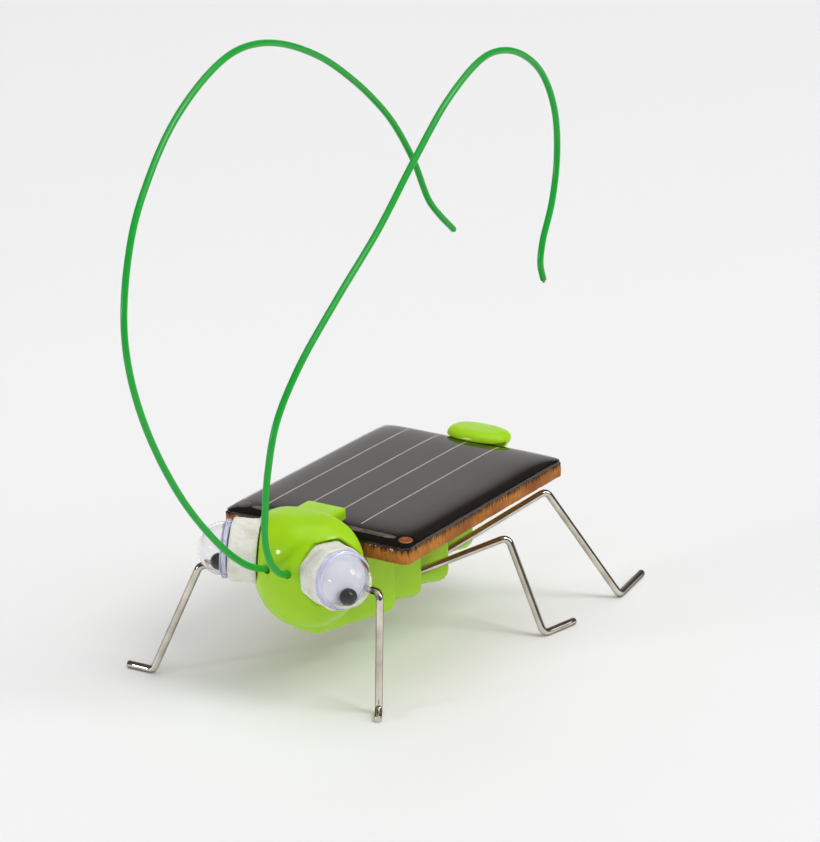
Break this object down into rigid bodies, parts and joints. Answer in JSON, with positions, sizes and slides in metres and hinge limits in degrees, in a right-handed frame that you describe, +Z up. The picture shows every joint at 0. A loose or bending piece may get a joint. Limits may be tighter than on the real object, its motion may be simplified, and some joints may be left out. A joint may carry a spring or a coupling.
{
  "type": "solar robot kit",
  "caption": "Grasshopper robot kit: a green moulded body clipped to a small solar panel, with a vibration motor, bent wire legs, wire antennae and googly eyes.",
  "frame": {"origin": "middle of the outline seen from above, on the ground that the toes stand on", "axes": "+X towards the head, +Y to the grasshopper's left, +Z up"},
  "size_m": [0.0824, 0.0459, 0.0858],
  "materials": {
    "lime_plastic": "moulded, satin gloss",
    "phenolic_board": "cut paper laminate",
    "clear_resin": "poured and domed, glossy",
    "silicon": "dark, smooth",
    "silver": "printed silver",
    "tinned_ribbon": "dull tin",
    "copper": "bare copper",
    "solder": "bright, rounded",
    "foam": "cut foam",
    "white_card": "smooth white",
    "clear_plastic": "clear, vacuum formed",
    "black_plastic": "glossy",
    "green_pvc": "smooth wire covering",
    "motor_steel": "drawn can",
    "nylon": "moulded",
    "magnet": "sintered ferrite",
    "winding": "enamelled copper",
    "tungsten": "sintered, dull",
    "tape": "adhesive tape",
    "red_pvc": "wire covering",
    "blue_pvc": "wire covering",
    "nickel_wire": "bright nickel"
  },
  "bodies": {
    "body": {"body_shell": "lime_plastic", "circuit_board": "phenolic_board", "resin_cover": "clear_resin", "solar_cell_1": "silicon", "solar_cell_2": "silicon", "solar_cell_3": "silicon", "solar_cell_4": "silicon", "solar_cell_5": "silicon", "solar_cell_6": "silicon", "silver_line_1": "silver", "silver_line_2": "silver", "silver_line_3": "silver", "silver_line_4": "silver", "silver_line_5": "silver", "bus_ribbon": "tinned_ribbon", "copper_eyelet_left": "copper", "copper_eyelet_right": "copper", "copper_trace_left": "copper", "copper_trace_right": "copper", "solder_joint_left": "solder", "solder_joint_right": "solder", "motor_can": "motor_steel", "motor_end_cap": "nylon", "motor_magnet": "magnet", "motor_tape": "tape", "lead_wire_red": "red_pvc", "lead_wire_blue": "blue_pvc", "foam_pad_left": "foam", "foam_pad_right": "foam", "eye_backing_left": "white_card", "eye_backing_right": "white_card", "eye_dome_left": "clear_plastic", "eye_dome_right": "clear_plastic"},
    "rotor": {"motor_shaft": "motor_steel", "eccentric_weight": "tungsten", "motor_armature": "winding", "motor_commutator": "copper"},
    "left_pupil": {"pupil_left": "black_plastic"},
    "right_pupil": {"pupil_right": "black_plastic"},
    "front_left_leg": {"leg_front_left": "nickel_wire"},
    "front_right_leg": {"leg_front_right": "nickel_wire"},
    "middle_left_leg": {"leg_middle_left": "nickel_wire"},
    "middle_right_leg": {"leg_middle_right": "nickel_wire"},
    "rear_left_leg": {"leg_rear_left": "nickel_wire"},
    "rear_right_leg": {"leg_rear_right": "nickel_wire"},
    "left_antenna": {"antenna_sheath_left": "green_pvc", "antenna_core_left": "copper"},
    "right_antenna": {"antenna_sheath_right": "green_pvc", "antenna_core_right": "copper"}
  },
  "joints": [
    {"name": "rotor_spin", "type": "hinge", "parent": "body", "child": "rotor", "pos_m": [-0.00409, 0.00279, 0.0128], "axis": [1, 0, 0], "continuous": true},
    {"name": "left_pupil_roll", "type": "hinge", "parent": "body", "child": "left_pupil", "pos_m": [0.02101, 0.01229, 0.0193], "axis": [0.4529, 0.8888, 0.0698], "continuous": true},
    {"name": "right_pupil_roll", "type": "hinge", "parent": "body", "child": "right_pupil", "pos_m": [0.02101, -0.00671, 0.0201], "axis": [0.4529, -0.8888, 0.0698], "continuous": true},
    {"name": "front_left_leg_twist", "type": "hinge", "parent": "body", "child": "front_left_leg", "pos_m": [0.01341, 0.00919, 0.0153], "axis": [0.5717, 0.7805, 0.2529], "range_deg": [-15, 15]},
    {"name": "front_right_leg_twist", "type": "hinge", "parent": "body", "child": "front_right_leg", "pos_m": [0.01341, -0.00351, 0.0149], "axis": [0.6368, -0.7568, 0.1477], "range_deg": [-15, 15]},
    {"name": "middle_left_leg_twist", "type": "hinge", "parent": "body", "child": "middle_left_leg", "pos_m": [-0.00349, 0.00729, 0.0109], "axis": [-0.7442, 0.6202, 0.2481], "range_deg": [-15, 15]},
    {"name": "middle_right_leg_twist", "type": "hinge", "parent": "body", "child": "middle_right_leg", "pos_m": [-0.00349, -0.00171, 0.0109], "axis": [-0.7442, -0.6202, 0.2481], "range_deg": [-15, 15]},
    {"name": "rear_left_leg_twist", "type": "hinge", "parent": "body", "child": "rear_left_leg", "pos_m": [-0.01039, 0.00729, 0.0114], "axis": [-0.8195, 0.4585, 0.3438], "range_deg": [-15, 15]},
    {"name": "rear_right_leg_twist", "type": "hinge", "parent": "body", "child": "rear_right_leg", "pos_m": [-0.01039, -0.00171, 0.0114], "axis": [-0.8195, -0.4585, 0.3438], "range_deg": [-15, 15]},
    {"name": "left_antenna_twist", "type": "hinge", "parent": "body", "child": "left_antenna", "pos_m": [0.01971, 0.00444, 0.0192], "axis": [1, 0, 0], "range_deg": [-8, 8]},
    {"name": "right_antenna_twist", "type": "hinge", "parent": "body", "child": "right_antenna", "pos_m": [0.01971, 0.00114, 0.0192], "axis": [1, 0, 0], "range_deg": [-8, 8]}
  ]
}
